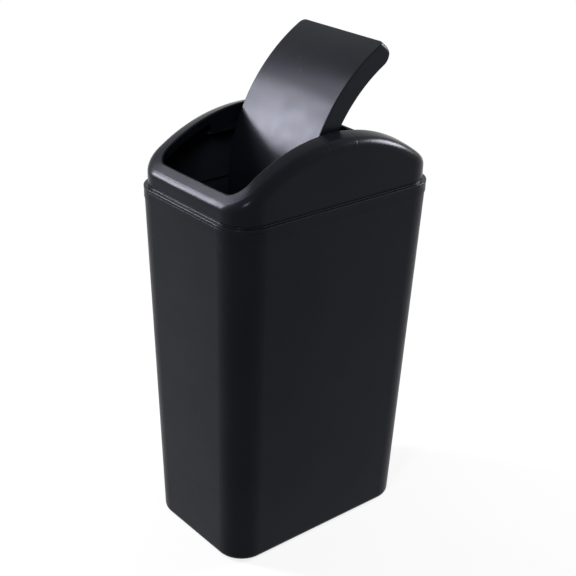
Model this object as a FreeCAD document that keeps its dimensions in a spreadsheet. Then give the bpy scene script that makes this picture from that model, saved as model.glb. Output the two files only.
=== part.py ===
import FreeCAD, Part
import math
import os
import Sketcher

# Swing-lid bin: a tapered bin, an arched lid collar that plugs into its mouth,
# and an arched flap that swings on two stub axles in the collar.
# Frame: millimetres, +Z up, origin at the middle of the base, X across the short side,
# front towards -Y. The flap stands open, with its front end down in the bin.

# Driving sizes in millimetres, and one angle in degrees

SIZES = {
    # bin
    "bin_height": 400.0,
    "mouth_width": 185.2,
    "mouth_depth": 271.2,
    "mouth_corner": 35.0,
    "base_width": 158.0,
    "base_depth": 245.5,
    "base_corner": 31.0,
    "bin_wall": 2.2,
    "floor_thickness": 2.6,
    "floor_round": 5.0,
    "base_round": 6.5,
    "foot_width": 16.0,
    "base_recess": 3.0,
    "rim_band_height": 9.0,
    "rim_band_proud": 0.3,
    "rim_round": 0.8,
    # lid collar
    "plug_clearance": 1.6,
    "plug_depth": 14.0,
    "collar_wall": 2.2,
    "collar_end_height": 19.4,
    "arch_rise": 54.6,
    "shoulder_fall": 8.5,
    "end_fall": 3.5,
    "shoulder_round": 12.5,
    "side_border": 21.8,
    "end_border": 13.0,
    "opening_corner": 15.0,
    "opening_round": 1.6,
    "lip_depth": 9.0,
    "flange_height": 3.4,
    "flange_proud": 0.3,
    "flange_round": 1.0,
    "flange_crease": 0.8,
    "flange_edge": 0.4,
    # pivot housings in the collar
    "pivot_drop": 17.6,
    "ear_width": 98.0,
    "ear_thickness": 3.0,
    "shelf_drop": 8.5,
    "shelf_thickness": 2.4,
    "shelf_length": 106.0,
    "shelf_corner": 3.0,
    "gusset_spacing": 36.0,
    "gusset_thickness": 2.2,
    # flap
    "flap_gap": 3.9,
    "flap_end_gap": 1.4,
    "flap_wall": 2.2,
    "flap_skirt": 22.0,
    "flap_corner": 6.0,
    "skirt_corner": 13.0,
    "flap_edge_round": 1.2,
    "flap_angle": 66.6,
    "rib_thickness": 2.2,
    "lug_radius": 9.0,
    "lug_thickness": 5.0,
    "spacer_radius": 7.0,
    "side_play": 0.6,
    "axle_radius": 4.0,
    "axle_clearance": 0.08,
    "axle_overrun": 1.5,
    "axle_chamfer": 1.0,
}

# Sizes worked out from the driving ones

COLLAR_INSET = "( bin_wall + plug_clearance )"
COLLAR_WIDTH = f"( mouth_width - 2 * {COLLAR_INSET} )"
COLLAR_DEPTH = f"( mouth_depth - 2 * {COLLAR_INSET} )"
COLLAR_CORNER = f"( mouth_corner - {COLLAR_INSET} )"
FLANGE_OVERHANG = "( rim_band_proud + flange_proud )"
FLANGE_OUTLINE = (
    f"( mouth_width + 2 * {FLANGE_OVERHANG} )",
    f"( mouth_depth + 2 * {FLANGE_OVERHANG} )",
    f"( mouth_corner + {FLANGE_OVERHANG} )",
)
PLUG_BOTTOM = "( bin_height - plug_depth )"
ARCH_TOP = "( bin_height + collar_end_height + arch_rise )"


def arch_radius(rise):
    """Radius of an arch of some rise that springs from the two ends of the collar."""
    return f"( ( ( {COLLAR_DEPTH} / 2 ) ^ 2 + {rise} ^ 2 ) / ( 2 * {rise} ) )"


ARCH_RADIUS = arch_radius("arch_rise")
ARCH_CENTRE = f"( {ARCH_TOP} - {ARCH_RADIUS} )"
SIDE_ARCH_RADIUS = arch_radius("( arch_rise - shoulder_fall + end_fall )")
SIDE_ARCH_CENTRE = f"( {ARCH_TOP} - shoulder_fall - {SIDE_ARCH_RADIUS} )"
OPENING_WIDTH = f"( {COLLAR_WIDTH} - 2 * side_border )"
OPENING_DEPTH = f"( {COLLAR_DEPTH} - 2 * end_border )"
PIVOT = f"( {ARCH_TOP} - pivot_drop )"
SHELF_TOP = f"( {PIVOT} - shelf_drop )"
FLAP_WIDTH = f"( {OPENING_WIDTH} - 2 * flap_gap )"
FLAP_DEPTH = f"( {OPENING_DEPTH} - 2 * flap_end_gap )"
SKIRT_RADIUS = f"( {ARCH_RADIUS} - flap_skirt )"
FLAP_END_DROP = f"( pivot_drop - {ARCH_RADIUS} + ( {ARCH_RADIUS} ^ 2 - ( {FLAP_DEPTH} / 2 ) ^ 2 ) ^ 0.5 )"
SWING_RADIUS = f"( ( ( {FLAP_DEPTH} / 2 ) ^ 2 + {FLAP_END_DROP} ^ 2 ) ^ 0.5 )"
PIVOT_RISE = f"( {ARCH_RADIUS} - pivot_drop )"

# Cutting profiles run this far past what they cut
MARGIN = 2.0
TOLERANCE = 0.001

doc = FreeCAD.newDocument("swing_lid_bin")
sheet = doc.addObject("Spreadsheet::Sheet", "Sizes")
for row, (alias, millimetres) in enumerate(SIZES.items(), start=1):
    sheet.set(f"A{row}", alias)
    sheet.set(f"B{row}", str(millimetres))
    sheet.setAlias(f"B{row}", alias)
doc.recompute()


def formula(text):
    """Turns the size names in a formula into references to the sheet."""
    words = text.replace("(", " ( ").replace(")", " ) ").split()
    return " ".join(f"Sizes.{word}" if word in SIZES else word for word in words)


def value(text):
    """Number that a formula of sizes gives."""
    result = sheet.evalExpression(formula(text))
    return float(getattr(result, "Value", result))


# Sketching

def new_body(label):
    """An empty body that becomes one piece."""
    body = doc.addObject("PartDesign::Body", label)
    body.Label = label
    return body


def origin_plane(body, role):
    """One of a body's own origin planes."""
    return next(plane for plane in body.Origin.OriginFeatures if plane.Role == role)


def new_sketch(body, role, offset="0"):
    """A sketch on an origin plane of its body, moved along the plane's normal."""
    sketch = body.newObject("Sketcher::SketchObject", "Sketch")
    sketch.AttachmentSupport = [(origin_plane(body, role), "")]
    sketch.MapMode = "FlatFace"
    sketch.setExpression("AttachmentOffset.Base.z", formula(offset))
    return sketch


def dimension(sketch, size, *definition):
    """Adds a dimension that follows a formula."""
    index = sketch.addConstraint(Sketcher.Constraint(*definition, value(size)))
    sketch.setExpression(f"Constraints[{index}]", formula(size))


def relate(sketch, *definitions):
    """Adds geometric constraints."""
    for definition in definitions:
        sketch.addConstraint(Sketcher.Constraint(*definition))


def line(sketch, start, end):
    """Adds a straight line and gives its index."""
    return sketch.addGeometry(Part.LineSegment(FreeCAD.Vector(*start, 0), FreeCAD.Vector(*end, 0)))


def circle(centre, radius):
    """Circle in a sketch's own plane."""
    return Part.Circle(FreeCAD.Vector(*centre, 0), FreeCAD.Vector(0, 0, 1), radius)


def arc(sketch, centre, radius, start, end):
    """Adds an anticlockwise arc between two angles in degrees and gives its index."""
    return sketch.addGeometry(Part.ArcOfCircle(circle(centre, radius), math.radians(start), math.radians(end)))


def arc_between(sketch, centre, start, end):
    """Adds an anticlockwise arc between two points and gives its index."""
    first = math.degrees(math.atan2(start[1] - centre[1], start[0] - centre[0]))
    last = math.degrees(math.atan2(end[1] - centre[1], end[0] - centre[0]))
    return arc(sketch, centre, math.dist(centre, start), first, last if last > first else last + 360)


def join(sketch, chain):
    """Joins the end of each curve of a closed chain to the start of the next."""
    for first, second in zip(chain, chain[1:] + chain[:1]):
        relate(sketch, ("Coincident", first, 2, second, 1))


def polygon(sketch, points):
    """Adds a closed polygon whose corners are pairs of formulas."""
    corners = [(value(across), value(up)) for across, up in points]
    chain = [line(sketch, start, end) for start, end in zip(corners, corners[1:] + corners[:1])]
    join(sketch, chain)
    for side, (across, up) in zip(chain, points):
        dimension(sketch, across, "DistanceX", -1, 1, side, 1)
        dimension(sketch, up, "DistanceY", -1, 1, side, 1)


def rounded_rectangle(sketch, width, depth, corner):
    """Adds a rectangle with rounded corners, centred on the sketch's origin."""
    x = value(width) / 2
    y = value(depth) / 2
    r = value(corner)
    front = line(sketch, (r - x, -y), (x - r, -y))
    front_right = arc(sketch, (x - r, r - y), r, -90, 0)
    right = line(sketch, (x, r - y), (x, y - r))
    back_right = arc(sketch, (x - r, y - r), r, 0, 90)
    back = line(sketch, (x - r, y), (r - x, y))
    back_left = arc(sketch, (r - x, y - r), r, 90, 180)
    left = line(sketch, (-x, y - r), (-x, r - y))
    front_left = arc(sketch, (r - x, r - y), r, 180, 270)
    chain = [front, front_right, right, back_right, back, back_left, left, front_left]
    for first, second in zip(chain, chain[1:] + chain[:1]):
        relate(sketch, ("Tangent", first, 2, second, 1))
    relate(sketch, ("Horizontal", front), ("Horizontal", back), ("Vertical", right), ("Vertical", left))
    for other in (back_right, back_left, front_left):
        relate(sketch, ("Equal", front_right, other))
    relate(sketch, ("Symmetric", front_left, 3, back_right, 3, -1, 1))
    dimension(sketch, corner, "Radius", front_right)
    dimension(sketch, width, "DistanceX", left, 1, right, 1)
    dimension(sketch, depth, "DistanceY", front, 1, back, 1)


def circle_on_axis(sketch, height, radius):
    """Adds a circle on the sketch's vertical axis."""
    index = sketch.addGeometry(circle((0, value(height)), value(radius)))
    relate(sketch, ("PointOnObject", index, 3, -2))
    dimension(sketch, height, "DistanceY", -1, 1, index, 3)
    dimension(sketch, radius, "Radius", index)


def arch_region(sketch, centre_height, radius, span, edge):
    """Adds the region between an arch about a point of the vertical axis and a level edge."""
    centre = value(centre_height)
    half = value(span) / 2
    spring = centre + math.sqrt(value(radius) ** 2 - half ** 2)
    level = value(edge)
    arch = arc_between(sketch, (0, centre), (half, spring), (-half, spring))
    left = line(sketch, (-half, spring), (-half, level))
    across = line(sketch, (-half, level), (half, level))
    right = line(sketch, (half, level), (half, spring))
    join(sketch, [arch, left, across, right])
    relate(sketch, ("Vertical", left), ("Vertical", right), ("Horizontal", across), ("PointOnObject", arch, 3, -2))
    dimension(sketch, centre_height, "DistanceY", -1, 1, arch, 3)
    dimension(sketch, radius, "Radius", arch)
    dimension(sketch, f"{span} / 2", "DistanceX", -1, 1, arch, 1)
    dimension(sketch, f"{span} / 2", "DistanceX", arch, 2, -1, 1)
    dimension(sketch, edge, "DistanceY", -1, 1, across, 1)


# Features

def feature(body, kind, **properties):
    """Adds a feature to a body, with its sizes given as formulas, and checks that a cut cuts."""
    before = body.Shape.Volume if body.Tip else 0.0
    item = body.newObject(f"PartDesign::{kind}", kind)
    for name, setting in properties.items():
        if isinstance(setting, str) and name != "Type":
            item.setExpression(name, formula(setting))
        else:
            setattr(item, name, setting)
    doc.recompute()
    if kind in ("Pocket", "SubtractiveLoft", "Thickness") and not item.Shape.Volume < before:
        raise RuntimeError(f"{item.Name} of {body.Label} cuts nothing")
    return item


def pad(body, sketch, length, **properties):
    return feature(body, "Pad", Profile=sketch, Length=length, **properties)


def pocket(body, sketch, length, **properties):
    return feature(body, "Pocket", Profile=sketch, Length=length, **properties)


def outline_pad(body, offset, length, outline, hole=None):
    """Pads a rounded rectangle upwards, with a rounded hole where one is given."""
    sketch = new_sketch(body, "XY_Plane", offset)
    rounded_rectangle(sketch, *outline)
    if hole:
        rounded_rectangle(sketch, *hole)
    return pad(body, sketch, length)


def round_off(body, item, names, radius):
    """Rounds named edges, or all edges of named faces, of a feature."""
    return feature(body, "Fillet", Base=(item, names), Radius=radius)


def mirror(body, role, items):
    """Repeats features on the other side of an origin plane."""
    mirrored = feature(body, "Mirrored", Originals=items, MirrorPlane=(origin_plane(body, role), [""]))
    body.Tip = mirrored
    doc.recompute()
    return mirrored


# Choosing edges and faces

def edges_where(item, test):
    """Names of the edges of a feature that pass a test."""
    return [f"Edge{index}" for index, edge in enumerate(item.Shape.Edges, start=1) if test(edge)]


def faces_where(item, test):
    """Names of the faces of a feature that pass a test."""
    return [f"Face{index}" for index, face in enumerate(item.Shape.Faces, start=1) if test(face)]


def is_level(shape, height):
    """Whether an edge or face lies flat at a height."""
    box = shape.BoundBox
    return abs(box.ZMin - height) < TOLERANCE and abs(box.ZMax - height) < TOLERANCE


def outline_distance(point, outline):
    """Distance in plan from a point to the inside of a rounded rectangle, negative within it."""
    width, depth, corner = (value(size) for size in outline)
    x = abs(point.x) - width / 2 + corner
    y = abs(point.y) - depth / 2 + corner
    return math.hypot(max(x, 0.0), max(y, 0.0)) + min(max(x, y), 0.0) - corner


def level_edges(item, height, outline):
    """Names of the flat edges of a feature that run along an outline at a height."""
    def on_outline(edge):
        middle = edge.valueAt((edge.FirstParameter + edge.LastParameter) / 2)
        return is_level(edge, height) and abs(outline_distance(middle, outline)) < TOLERANCE
    return edges_where(item, on_outline)


def raised_edges(item, outline):
    """Names of the edges of a feature that follow an outline wholly above the bin's rim."""
    def follows(edge):
        middle = edge.valueAt((edge.FirstParameter + edge.LastParameter) / 2)
        raised = edge.BoundBox.ZMin > value("bin_height")
        return raised and abs(outline_distance(middle, outline)) < TOLERANCE
    return edges_where(item, follows)


def cylinder_faces(item, radius):
    """Names of the faces of a feature that bend about an axis across the bin's width."""
    def bends(face):
        surface = face.Surface
        across = isinstance(surface, Part.Cylinder) and abs(surface.Axis.x) > 1 - TOLERANCE
        return across and abs(surface.Radius - value(radius)) < TOLERANCE
    return faces_where(item, bends)


# Bin

def bin_outline(height, inset="0"):
    """Outline of the tapered bin at a height, moved in from its outer face."""
    share = f"( {height} / bin_height )"
    return (
        f"( base_width + ( mouth_width - base_width ) * {share} - 2 * {inset} )",
        f"( base_depth + ( mouth_depth - base_depth ) * {share} - 2 * {inset} )",
        f"( base_corner + ( mouth_corner - base_corner ) * {share} - {inset} )",
    )


def bin_loft(body, kind, low, inset):
    """Adds or cuts the tapered form of the bin, from a height to the mouth."""
    sections = []
    for height in (low, "bin_height"):
        sketch = new_sketch(body, "XY_Plane", height)
        rounded_rectangle(sketch, *bin_outline(height, inset))
        sections.append(sketch)
    return feature(body, kind, Profile=sections[0], Sections=sections[1:], Ruled=True)


def make_bin():
    body = new_body("bin_body")
    floor_top = "( base_recess + floor_thickness )"
    rim_outline = (
        "( mouth_width + 2 * rim_band_proud )",
        "( mouth_depth + 2 * rim_band_proud )",
        "( mouth_corner + rim_band_proud )",
    )
    bin_loft(body, "AdditiveLoft", "0", "0")
    outline_pad(body, "bin_height - rim_band_height", "rim_band_height", rim_outline)
    bin_loft(body, "SubtractiveLoft", floor_top, "bin_wall")

    # recessed underside, which leaves a foot ring
    recess = new_sketch(body, "XY_Plane")
    rounded_rectangle(
        recess, "base_width - 2 * foot_width", "base_depth - 2 * foot_width", "base_corner - foot_width / 2",
    )
    base = pocket(body, recess, "base_recess", Reversed=True)

    floor = level_edges(base, value(floor_top), bin_outline(floor_top, "bin_wall"))
    base = round_off(body, base, floor, "floor_round")
    base = round_off(body, base, level_edges(base, 0.0, bin_outline("0")), "base_round")
    rim_height = value("bin_height")
    rim = level_edges(base, rim_height, rim_outline)
    rim += level_edges(base, rim_height, bin_outline("bin_height", "bin_wall"))
    round_off(body, base, rim, "rim_round")
    return body


# Lid collar

def arch_cut(body):
    """Cuts the collar's top to an arch that is even over the opening and falls towards the long sides."""
    half_opening = f"( {OPENING_WIDTH} / 2 )"
    half_block = f"( {COLLAR_WIDTH} / 2 + {MARGIN} )"
    middle_arch = (ARCH_CENTRE, ARCH_RADIUS)
    side_arch = (SIDE_ARCH_CENTRE, SIDE_ARCH_RADIUS)
    stations = [
        (f"( 0 - {half_block} )", side_arch), (f"( 0 - {half_opening} )", middle_arch),
        (f"( 0 - {half_opening} / 2 )", middle_arch), ("0", middle_arch), (f"( {half_opening} / 2 )", middle_arch),
        (half_opening, middle_arch), (half_block, side_arch),
    ]
    sections = []
    for offset, arch in stations:
        sketch = new_sketch(body, "YZ_Plane", offset)
        arch_region(sketch, *arch, f"( {COLLAR_DEPTH} + {MARGIN} )", f"( {ARCH_TOP} + 2 * {MARGIN} )")
        sections.append(sketch)
    return feature(body, "SubtractiveLoft", Profile=sections[0], Sections=sections[1:])


def collar_shell(body):
    """The arched shell with its rounded shoulder and opening, of even wall and open below."""
    outline = (COLLAR_WIDTH, COLLAR_DEPTH, COLLAR_CORNER)
    outline_pad(body, PLUG_BOTTOM, f"{ARCH_TOP} - {PLUG_BOTTOM} + {MARGIN}", outline)
    block = arch_cut(body)
    block = round_off(body, block, raised_edges(block, outline), "shoulder_round")

    opening = new_sketch(body, "XY_Plane", f"{ARCH_TOP} + {MARGIN}")
    mouth = (OPENING_WIDTH, OPENING_DEPTH, "opening_corner")
    rounded_rectangle(opening, *mouth)
    block = feature(body, "Pocket", Profile=opening, Type="ThroughAll")
    underside = faces_where(block, lambda face: is_level(face, value(PLUG_BOTTOM)))
    shell = feature(body, "Thickness", Base=(block, underside), Value="collar_wall", Reversed=True)
    round_off(body, shell, raised_edges(shell, mouth), "opening_round")

    # the lip round the opening ends parallel to the arch
    below = new_sketch(body, "YZ_Plane")
    reach = f"2 * ( collar_wall + {MARGIN} )"
    arch_region(
        below, ARCH_CENTRE, f"( {ARCH_RADIUS} - lip_depth )", f"( {OPENING_DEPTH} + {reach} )",
        f"( {PLUG_BOTTOM} - {MARGIN} )",
    )
    pocket(body, below, f"{OPENING_WIDTH} + {reach}", Midplane=True)


def collar_flange(body):
    """The thin flange that rests on the bin's rim."""
    middle_of_wall = (
        f"( {COLLAR_WIDTH} - collar_wall )",
        f"( {COLLAR_DEPTH} - collar_wall )",
        f"( {COLLAR_CORNER} - collar_wall / 2 )",
    )
    flange = outline_pad(body, "bin_height", "flange_height", FLANGE_OUTLINE, hole=middle_of_wall)
    top = value("bin_height + flange_height")
    flange = round_off(body, flange, level_edges(flange, top, FLANGE_OUTLINE), "flange_round")
    crease = level_edges(flange, top, (COLLAR_WIDTH, COLLAR_DEPTH, COLLAR_CORNER))
    flange = round_off(body, flange, crease, "flange_crease")
    round_off(body, flange, level_edges(flange, value("bin_height"), FLANGE_OUTLINE), "flange_edge")


def pivot_housings(body):
    """Bored panels below the long sides of the opening, each tied to the wall by a shelf and two gussets."""
    inner_face = f"( {OPENING_WIDTH} / 2 )"
    wall_share = "( 0.75 * collar_wall )"
    wall_side = f"( {COLLAR_WIDTH} / 2 - {wall_share} )"
    half_shelf = "( shelf_length / 2 )"

    ear_sketch = new_sketch(body, "YZ_Plane", inner_face)
    arch_region(ear_sketch, ARCH_CENTRE, f"( {ARCH_RADIUS} - 0.7 * lip_depth )", "ear_width", SHELF_TOP)
    ear = pad(body, ear_sketch, "ear_thickness")

    shelf_sketch = new_sketch(body, "XY_Plane", f"{SHELF_TOP} - shelf_thickness")
    polygon(shelf_sketch, [
        (inner_face, f"( 0 - {half_shelf} )"), (wall_side, f"( 0 - {half_shelf} )"),
        (wall_side, half_shelf), (inner_face, half_shelf),
    ])
    shelf = pad(body, shelf_sketch, "shelf_thickness")

    gussets = []
    for side in ("( 0 - gusset_spacing / 2 )", "( gusset_spacing / 2 )"):
        gussets.append(gusset(body, side, f"( {inner_face} + ear_thickness / 2 )", wall_side, wall_share))

    bore_sketch = new_sketch(body, "YZ_Plane", f"{inner_face} - {MARGIN}")
    circle_on_axis(bore_sketch, PIVOT, "( axle_radius + axle_clearance )")
    bore = pocket(body, bore_sketch, f"ear_thickness + 2 * {MARGIN}", Reversed=True)
    return mirror(body, "YZ_Plane", [ear, shelf, *gussets, bore])


def gusset(body, side, inner, outer, wall_share):
    """One upright rib from the shelf to the underside of the shoulder."""
    foot = f"( {SHELF_TOP} - shelf_thickness / 2 )"
    top = f"( {ARCH_TOP} - {wall_share} )"
    bend = f"( {outer} + {wall_share} - shoulder_round )"
    sketch = new_sketch(body, "XZ_Plane", side)
    polygon(sketch, [
        (inner, foot), (outer, foot), (outer, f"( {top} - shoulder_fall - shoulder_round )"),
        (bend, f"( {top} - shoulder_fall / 2 )"), (inner, top),
    ])
    return pad(body, sketch, "gusset_thickness", Midplane=True)


def make_collar():
    body = new_body("lid_collar")
    collar_shell(body)
    collar_flange(body)
    housing = pivot_housings(body)

    # rounded free corners of the shelves
    def shelf_corner(edge):
        middle = edge.CenterOfMass
        upright = abs(edge.BoundBox.ZLength - value("shelf_thickness")) < TOLERANCE
        at_end = abs(abs(middle.y) - value("shelf_length") / 2) < TOLERANCE
        return upright and at_end and abs(abs(middle.x) - value(OPENING_WIDTH) / 2) < TOLERANCE
    round_off(body, housing, edges_where(housing, shelf_corner), "shelf_corner")
    return body


# Flap

def flap_profile(sketch):
    """Adds the flap's side view: an arch, a parallel lower edge, and ends turned about the pivot."""
    centre = value(ARCH_CENTRE)
    pivot = value(PIVOT)
    half = value(FLAP_DEPTH) / 2
    top_z = pivot + value(FLAP_END_DROP)
    low_y, low_z = meeting_point(centre, value(SKIRT_RADIUS), pivot, value(SWING_RADIUS))
    arch = arc_between(sketch, (0, centre), (half, top_z), (-half, top_z))
    front_end = arc_between(sketch, (0, pivot), (-half, top_z), (-low_y, low_z))
    lower = arc_between(sketch, (0, centre), (low_y, low_z), (-low_y, low_z))
    back_end = arc_between(sketch, (0, pivot), (low_y, low_z), (half, top_z))
    relate(sketch, ("Coincident", arch, 2, front_end, 1), ("Coincident", front_end, 2, lower, 2))
    relate(sketch, ("Coincident", lower, 1, back_end, 1), ("Coincident", back_end, 2, arch, 1))
    relate(sketch, ("PointOnObject", arch, 3, -2), ("Coincident", arch, 3, lower, 3))
    relate(sketch, ("PointOnObject", back_end, 3, -2), ("Coincident", back_end, 3, front_end, 3))
    dimension(sketch, ARCH_CENTRE, "DistanceY", -1, 1, arch, 3)
    dimension(sketch, PIVOT, "DistanceY", -1, 1, back_end, 3)
    dimension(sketch, ARCH_RADIUS, "Radius", arch)
    dimension(sketch, SKIRT_RADIUS, "Radius", lower)
    dimension(sketch, f"{FLAP_DEPTH} / 2", "DistanceX", -1, 1, arch, 1)
    dimension(sketch, f"{FLAP_DEPTH} / 2", "DistanceX", arch, 2, -1, 1)


def meeting_point(first_height, first_radius, second_height, second_radius):
    """Where two circles about points of the vertical axis meet, on the positive side."""
    rise = second_height - first_height
    up = (first_radius ** 2 - second_radius ** 2 + rise ** 2) / (2 * rise)
    return math.sqrt(first_radius ** 2 - up ** 2), first_height + up


def skirt_corner_region(sketch):
    """Adds the region outside the round corner between the back end and the lower edge."""
    from_centre = f"( {SKIRT_RADIUS} + skirt_corner )"
    from_pivot = f"( {SWING_RADIUS} - skirt_corner )"
    up = f"( ( {from_centre} ^ 2 - {from_pivot} ^ 2 + {PIVOT_RISE} ^ 2 ) / ( 2 * {PIVOT_RISE} ) )"
    across = f"( ( {from_centre} ^ 2 - {up} ^ 2 ) ^ 0.5 )"
    height = f"( {ARCH_CENTRE} + {up} )"
    low_across = f"( {across} * {SKIRT_RADIUS} / {from_centre} )"
    end_across = f"( {across} * {SWING_RADIUS} / {from_pivot} )"
    outside = f"( {FLAP_DEPTH} / 2 + {MARGIN} )"
    below = f"( {height} - 2 * skirt_corner - flap_skirt )"

    middle = (value(across), value(height))
    low_end = (value(low_across), value(ARCH_CENTRE) + value(up) * value(SKIRT_RADIUS) / value(from_centre))
    drop = value(PIVOT) - middle[1]
    high_end = (value(end_across), value(PIVOT) - drop * value(SWING_RADIUS) / value(from_pivot))
    bend = arc_between(sketch, middle, low_end, high_end)
    corners = [high_end, (value(outside), high_end[1]), (value(outside), value(below)), (low_end[0], value(below))]
    sides = [line(sketch, start, end) for start, end in zip(corners, corners[1:] + [low_end])]
    join(sketch, [bend, *sides])
    relate(sketch, ("Horizontal", sides[0]), ("Vertical", sides[1]), ("Horizontal", sides[2]), ("Vertical", sides[3]))
    dimension(sketch, across, "DistanceX", -1, 1, bend, 3)
    dimension(sketch, height, "DistanceY", -1, 1, bend, 3)
    dimension(sketch, "skirt_corner", "Radius", bend)
    dimension(sketch, low_across, "DistanceX", -1, 1, bend, 1)
    dimension(sketch, end_across, "DistanceX", -1, 1, bend, 2)
    dimension(sketch, outside, "DistanceX", -1, 1, sides[1], 1)
    dimension(sketch, below, "DistanceY", -1, 1, sides[2], 1)


def flap_shell(body):
    """The arched shell with its skirts, open below."""
    profile = new_sketch(body, "YZ_Plane")
    flap_profile(profile)
    block = pad(body, profile, FLAP_WIDTH, Midplane=True)

    half_width = value(FLAP_WIDTH) / 2

    def end_corner(edge):
        box = edge.BoundBox
        on_side = box.XLength < TOLERANCE and abs(abs(box.XMin) - half_width) < TOLERANCE
        return on_side and box.YLength < value(FLAP_DEPTH) / 2
    block = round_off(body, block, edges_where(block, end_corner), "flap_corner")
    underside = cylinder_faces(block, SKIRT_RADIUS)
    feature(body, "Thickness", Base=(block, underside), Value="flap_wall", Reversed=True)

    corner = new_sketch(body, "YZ_Plane")
    skirt_corner_region(corner)
    trim = pocket(body, corner, f"{FLAP_WIDTH} + {MARGIN}", Midplane=True)
    shell = mirror(body, "XZ_Plane", [trim])
    round_off(body, shell, cylinder_faces(shell, ARCH_RADIUS), "flap_edge_round")


def flap_pivots(body):
    """A cross rib, and a lug, spacer and stub axle on each long side."""
    side_face = f"( {FLAP_WIDTH} / 2 )"
    under_skin = f"( {ARCH_TOP} - 0.75 * flap_wall )"
    rib_end = f"( {side_face} - flap_wall / 2 )"
    rib_sketch = new_sketch(body, "XZ_Plane")
    polygon(rib_sketch, [
        (f"( 0 - {rib_end} )", PIVOT), (rib_end, PIVOT), (rib_end, under_skin), (f"( 0 - {rib_end} )", under_skin),
    ])
    pad(body, rib_sketch, "rib_thickness", Midplane=True)

    lug_sketch = new_sketch(body, "YZ_Plane", side_face)
    lug_outline(lug_sketch, under_skin)
    lug = pad(body, lug_sketch, "lug_thickness", Reversed=True)
    spacer_sketch = new_sketch(body, "YZ_Plane", f"{side_face} - flap_wall")
    circle_on_axis(spacer_sketch, PIVOT, "spacer_radius")
    spacer = pad(body, spacer_sketch, "flap_wall + flap_gap - side_play")
    axle_sketch = new_sketch(body, "YZ_Plane", f"{side_face} - flap_wall")
    circle_on_axis(axle_sketch, PIVOT, "axle_radius")
    axle = pad(body, axle_sketch, "flap_wall + flap_gap + ear_thickness + axle_overrun")
    pair = mirror(body, "YZ_Plane", [lug, spacer, axle])

    tip = value(f"{side_face} + flap_gap + ear_thickness + axle_overrun")
    tips = edges_where(
        pair, lambda edge: edge.BoundBox.XLength < TOLERANCE and abs(abs(edge.BoundBox.XMin) - tip) < TOLERANCE,
    )
    feature(body, "Chamfer", Base=(pair, tips), Size="axle_chamfer")


def lug_outline(sketch, top):
    """Adds an upright tab with a round foot about the pivot."""
    radius = value("lug_radius")
    pivot = value(PIVOT)
    foot = arc(sketch, (0, pivot), radius, 180, 360)
    right = line(sketch, (radius, pivot), (radius, value(top)))
    across = line(sketch, (radius, value(top)), (-radius, value(top)))
    left = line(sketch, (-radius, value(top)), (-radius, pivot))
    relate(sketch, ("Tangent", foot, 2, right, 1), ("Coincident", right, 2, across, 1))
    relate(sketch, ("Coincident", across, 2, left, 1), ("Tangent", left, 2, foot, 1))
    relate(sketch, ("Vertical", right), ("Horizontal", across), ("PointOnObject", foot, 3, -2))
    dimension(sketch, PIVOT, "DistanceY", -1, 1, foot, 3)
    dimension(sketch, "lug_radius", "Radius", foot)
    dimension(sketch, top, "DistanceY", -1, 1, across, 1)


def make_flap():
    body = new_body("swing_flap")
    flap_shell(body)
    flap_pivots(body)

    # built shut, then swung open about the pivot
    body.Placement = FreeCAD.Placement(
        FreeCAD.Vector(0, 0, 0),
        FreeCAD.Rotation(FreeCAD.Vector(1, 0, 0), value("flap_angle")),
        FreeCAD.Vector(0, 0, value(PIVOT)),
    )
    return body


bin_body = make_bin()
lid_collar = make_collar()
swing_flap = make_flap()
pieces = [bin_body, lid_collar, swing_flap]

doc.recompute()
for item in doc.Objects:
    if "Invalid" in item.State or "Error" in item.State:
        raise RuntimeError(f"{item.Name} failed: {item.State}")
for piece in pieces:
    if piece.Shape.isNull() or not piece.Shape.isValid():
        raise RuntimeError(f"{piece.Label} has no valid shape")

os.makedirs("parts", exist_ok=True)
for piece in pieces:
    piece.Shape.exportStep(f"parts/{piece.Label}.step")
    print(piece.Label, len(piece.Shape.Solids), round(piece.Shape.Volume))
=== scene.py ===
import math

import bpy
from mathutils import Matrix, Vector

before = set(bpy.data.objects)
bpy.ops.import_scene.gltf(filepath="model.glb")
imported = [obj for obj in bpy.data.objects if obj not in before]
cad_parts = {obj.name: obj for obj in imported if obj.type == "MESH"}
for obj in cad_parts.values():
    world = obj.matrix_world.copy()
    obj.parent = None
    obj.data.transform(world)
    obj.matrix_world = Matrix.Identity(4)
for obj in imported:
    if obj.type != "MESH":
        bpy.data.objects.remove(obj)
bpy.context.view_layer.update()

# Camera: the photograph's viewpoint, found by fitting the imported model's edges, with distances in metres
AZIMUTH = math.radians(49.877)
ELEVATION = math.radians(25.296)
ROLL = math.radians(1.717)
DISTANCE = 1.313906
LOOK_AT = Vector((0.0, 0.0, 0.276584))
LENS_MM = 74.254
SENSOR_MM = 36.0
SHIFT = (0.0072, -0.0002)

# Plastic: one satin black for the three mouldings, in linear colours
PLASTIC = (0.0064, 0.0074, 0.0100)
DEEP_TONE = 0.82
PALE_TONE = 1.25
GLOSS_TINT = (0.80, 0.84, 1.0, 1.0)
ROUGHNESS_SPREAD = 0.035
# Painted highlight: a lighter colour on sharp edges, standing in for the gleam of their small rounds
EDGE_HIGHLIGHT_COLOUR = (0.06, 0.061, 0.066, 1.0)
EDGE_HIGHLIGHT_SHARE = 0.4
DUST_COLOUR = (0.16, 0.16, 0.16, 1.0)
DUST_SHARE = 0.25

# Noise in the plastic: features per metre, octaves of detail and how rough they are
CLOUD = {"scale": 14.0, "detail": 3.0}
PATCH = {"scale": 60.0, "detail": 4.0, "roughness": 0.6}
SPECK = {"scale": 420.0, "detail": 1.0}
GRAIN_DETAIL = 2.0

# Spans of noise, or of Pointiness for the painted highlight on sharp edges, over which an effect sets in
CLOUD_SPAN = (0.3, 0.7)
PATCH_SPAN = (0.25, 0.75)
SPECK_SPAN = (0.80, 0.86)
EDGE_HIGHLIGHT_SPAN = (0.58, 0.70)

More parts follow.
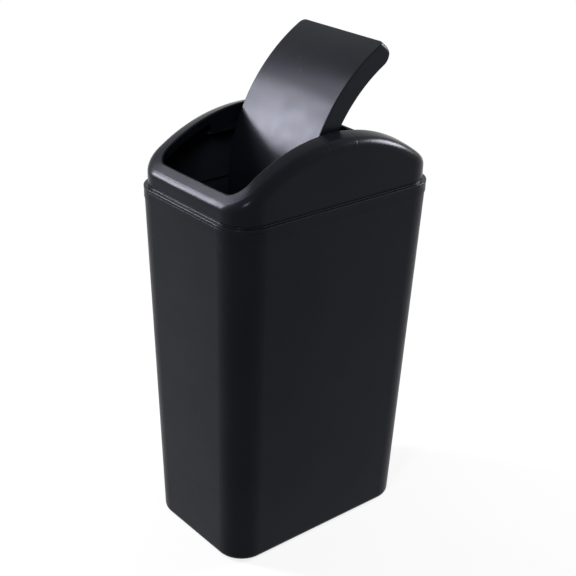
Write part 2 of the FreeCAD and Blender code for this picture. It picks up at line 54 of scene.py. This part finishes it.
# Relief by bump: depth in metres and strength
CLOUD_RELIEF = (0.0006, 0.12)
GRAIN_RELIEF = (0.00003, 0.07)
SINK_RELIEF = (0.00015, 0.7)

# Moulding lines on the collar's shoulders: distance from the middle, half width, heights where they set in
SINK_Y = 0.018
SINK_HALF_WIDTH = 0.0014
SINK_SPAN = (0.456, 0.462)

# Finish of each node, with the grain's size in metres
FINISHES = {
    "bin_body": {"name": "bin_plastic", "roughness": 0.36, "gloss": 0.074, "grain_size": 0.00050},
    "lid_collar": {
        "name": "collar_plastic", "roughness": 0.23, "gloss": 0.085, "grain_size": 0.00045,
        "sink_marks": True,
    },
    "swing_flap": {"name": "flap_plastic", "roughness": 0.25, "gloss": 0.12, "grain_size": 0.00045},
}

# Studio: a pale round table before a white background, in metres
WHITE = (1.0, 1.0, 1.0, 1.0)
TABLE_RADIUS = 0.7
TABLE_SIDES = 96
TABLE_DROP = 0.0004
TABLE_PAINT = (0.2, 0.2, 0.2, 1.0)
TABLE_GLOW = 0.80
FILL_LEVEL = 0.15

# Lamps around the lid: name, azimuth and elevation in degrees, distance and face in metres, radiance
LID_CENTRE = Vector((0.0, 0.0, 0.46))
LAMP_COLOUR = (0.95, 0.93, 1.0)
LAMPS = (
    ("key", -49.0, 15.0, 1.25, (0.22, 0.46), 51.0),
    ("upper", -55.5, 29.5, 1.25, (0.22, 0.26), 31.0),
    ("crown", -60.0, 43.5, 1.25, (0.22, 0.30), 10.0),
    ("front", 30.0, 30.0, 1.6, (0.24, 0.24), 44.0),
    ("back", 163.0, 20.0, 1.4, (0.50, 0.36), 40.0),
)


def direction(azimuth, elevation):
    """Unit vector at an azimuth from the front, which is -Y, and an elevation, both in radians."""
    return Vector((
        math.sin(azimuth) * math.cos(elevation),
        -math.cos(azimuth) * math.cos(elevation),
        math.sin(elevation),
    ))


def camera_axes():
    """Right, up and back directions of the photograph's camera."""
    back = direction(AZIMUTH, ELEVATION)
    level = Vector((math.cos(AZIMUTH), math.sin(AZIMUTH), 0.0))
    up = back.cross(level)
    right = math.cos(ROLL) * level + math.sin(ROLL) * up
    return right, back.cross(right), back


def make_camera():
    right, up, back = camera_axes()
    data = bpy.data.cameras.new("camera")
    data.lens = LENS_MM
    data.sensor_width = SENSOR_MM
    data.shift_x, data.shift_y = SHIFT
    camera = bpy.data.objects.new("camera", data)
    turn = Matrix((right, up, back)).transposed().to_4x4()
    camera.matrix_world = Matrix.Translation(LOOK_AT + DISTANCE * back) @ turn
    bpy.context.scene.collection.objects.link(camera)
    bpy.context.scene.camera = camera


class Nodes:
    """Short calls for adding and linking shader nodes."""

    def __init__(self, tree):
        self.tree = tree
        tree.nodes.clear()

    def add(self, kind, inputs=None, **settings):
        node = self.tree.nodes.new(kind)
        for name, setting in settings.items():
            setattr(node, name, setting)
        for name, source in (inputs or {}).items():
            socket = node.inputs[name]
            if isinstance(source, bpy.types.NodeSocket):
                self.tree.links.new(source, socket)
            else:
                socket.default_value = source
        return node

    def maths(self, operation, first, second=0.0):
        node = self.add("ShaderNodeMath", {0: first, 1: second}, operation=operation)
        return node.outputs[0]

    def mix(self, share, first, second):
        node = self.add("ShaderNodeMix", {"Factor": share, "A": first, "B": second}, data_type="RGBA")
        return node.outputs["Result"]

    def ramp(self, source, low, high, to_low=0.0, to_high=1.0):
        node = self.add("ShaderNodeMapRange", {
            "Value": source, "From Min": low, "From Max": high, "To Min": to_low, "To Max": to_high,
        })
        return node.outputs["Result"]

    def noise(self, place, scale, detail, roughness=0.5):
        node = self.add("ShaderNodeTexNoise", {
            "Vector": place, "Scale": scale, "Detail": detail, "Roughness": roughness,
        })
        return node.outputs["Fac"]

    def bump(self, height, distance, strength, below=None):
        inputs = {"Height": height, "Distance": distance, "Strength": strength}
        if below is not None:
            inputs["Normal"] = below
        return self.add("ShaderNodeBump", inputs).outputs["Normal"]


def plastic_tone(share):
    """The plastic's colour, deeper or paler by a share, with its alpha."""
    return tuple(share * channel for channel in PLASTIC) + (1.0,)


def moulded_plastic(name, roughness, gloss, grain_size, sink_marks=False):
    """Satin black moulded plastic: fine grain, slow waviness, uneven gloss, dust and a painted highlight
    on sharp edges.
    """
    material = bpy.data.materials.new(name)
    material.use_nodes = True
    nodes = Nodes(material.node_tree)
    place = nodes.add("ShaderNodeTexCoord").outputs["Object"]
    pointiness = nodes.add("ShaderNodeNewGeometry").outputs["Pointiness"]

    cloud = nodes.noise(place, **CLOUD)
    patch = nodes.noise(place, **PATCH)
    speck = nodes.noise(place, **SPECK)
    grain = nodes.noise(place, 1.0 / grain_size, GRAIN_DETAIL)

    # Painted highlight: sharp edges, found by Pointiness, are lightened as if they caught the light
    edge_highlight = nodes.maths("MULTIPLY", nodes.ramp(pointiness, *EDGE_HIGHLIGHT_SPAN), EDGE_HIGHLIGHT_SHARE)
    dust = nodes.maths("MULTIPLY", nodes.ramp(speck, *SPECK_SPAN), DUST_SHARE)
    colour = nodes.mix(nodes.ramp(cloud, *CLOUD_SPAN), plastic_tone(DEEP_TONE), plastic_tone(PALE_TONE))
    colour = nodes.mix(edge_highlight, colour, EDGE_HIGHLIGHT_COLOUR)
    colour = nodes.mix(dust, colour, DUST_COLOUR)

    shine = nodes.ramp(patch, *PATCH_SPAN, roughness - ROUGHNESS_SPREAD, roughness + ROUGHNESS_SPREAD)
    normal = nodes.bump(cloud, *CLOUD_RELIEF)
    normal = nodes.bump(grain, *GRAIN_RELIEF, below=normal)
    if sink_marks:
        normal = nodes.bump(sink_height(nodes, place), *SINK_RELIEF, below=normal)

    shader = nodes.add("ShaderNodeBsdfPrincipled", {
        "Base Color": colour,
        "Roughness": shine,
        "Normal": normal,
        "Specular IOR Level": gloss,
        "Specular Tint": GLOSS_TINT,
    })
    nodes.add("ShaderNodeOutputMaterial", {"Surface": shader.outputs["BSDF"]})
    return material


def sink_height(nodes, place):
    """Height of the faint moulding lines across the shoulders: 0 in a line, 1 beside it and lower down."""
    axes = nodes.add("ShaderNodeSeparateXYZ", {"Vector": place})
    across = nodes.maths("ABSOLUTE", axes.outputs["Y"])
    off_line = nodes.maths("ABSOLUTE", nodes.maths("SUBTRACT", across, SINK_Y))
    beside = nodes.ramp(off_line, 0.0, SINK_HALF_WIDTH)
    below = nodes.ramp(axes.outputs["Z"], *SINK_SPAN, 1.0, 0.0)
    return nodes.maths("MAXIMUM", beside, below)


def dress():
    """Gives every node its own procedural plastic."""
    for node, finish in FINISHES.items():
        material = moulded_plastic(**finish)
        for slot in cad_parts[node].material_slots:
            slot.material = material


def white_rays(nodes):
    """1 for rays that are seen, mirrored or transmitted, and 0 for the rest."""
    path = nodes.add("ShaderNodeLightPath")
    seen = nodes.maths("MAXIMUM", path.outputs["Is Camera Ray"], path.outputs["Is Glossy Ray"])
    return nodes.maths("MAXIMUM", seen, path.outputs["Is Transmission Ray"])


def table_paint():
    """Pale paint that shows the bin's shadow, with a glow that lifts it to white."""
    material = bpy.data.materials.new("pale_floor")
    material.use_nodes = True
    nodes = Nodes(material.node_tree)
    paint = nodes.add("ShaderNodeBsdfDiffuse", {"Color": TABLE_PAINT})
    strength = nodes.maths("MULTIPLY", white_rays(nodes), TABLE_GLOW)
    glow = nodes.add("ShaderNodeEmission", {"Color": WHITE, "Strength": strength})
    both = nodes.add("ShaderNodeAddShader", {0: paint.outputs[0], 1: glow.outputs[0]})
    nodes.add("ShaderNodeOutputMaterial", {"Surface": both.outputs[0]})
    return material


def make_stage():
    """A round table top, just under the bin's base."""
    corners = []
    for step in range(TABLE_SIDES):
        turn = 2 * math.pi * step / TABLE_SIDES
        corners.append((TABLE_RADIUS * math.cos(turn), TABLE_RADIUS * math.sin(turn), 0.0))
    floor_mesh = bpy.data.meshes.new("floor")
    floor_mesh.from_pydata(corners, [], [range(TABLE_SIDES)])
    floor_mesh.materials.append(table_paint())
    floor = bpy.data.objects.new("floor", floor_mesh)
    floor.location.z = -TABLE_DROP
    bpy.context.scene.collection.objects.link(floor)


def make_world():
    """White where it is seen or mirrored, and a weak even fill as light."""
    world = bpy.data.worlds.new("studio")
    world.use_nodes = True
    nodes = Nodes(world.node_tree)
    level = nodes.ramp(white_rays(nodes), 0.0, 1.0, FILL_LEVEL, 1.0)
    sky = nodes.add("ShaderNodeBackground", {"Color": WHITE, "Strength": level})
    nodes.add("ShaderNodeOutputWorld", {"Surface": sky.outputs[0]})
    bpy.context.scene.world = world


def softbox(name, azimuth, elevation, distance, face, radiance):
    """A soft lamp that faces the lid from a direction, with an even brightness over its face."""
    way = direction(math.radians(azimuth), math.radians(elevation))
    width, height = face
    data = bpy.data.lights.new(name, "AREA")
    data.shape = "RECTANGLE"
    data.size, data.size_y = face
    data.energy = radiance * math.pi * width * height
    data.color = LAMP_COLOUR
    lamp = bpy.data.objects.new(name, data)
    lamp.location = LID_CENTRE + distance * way
    lamp.rotation_euler = (-way).to_track_quat("-Z", "Y").to_euler()
    lamp.visible_camera = False
    bpy.context.scene.collection.objects.link(lamp)


make_camera()
dress()
make_stage()
make_world()
for lamp_setting in LAMPS:
    softbox(*lamp_setting)
bpy.context.scene.view_settings.view_transform = "Standard"
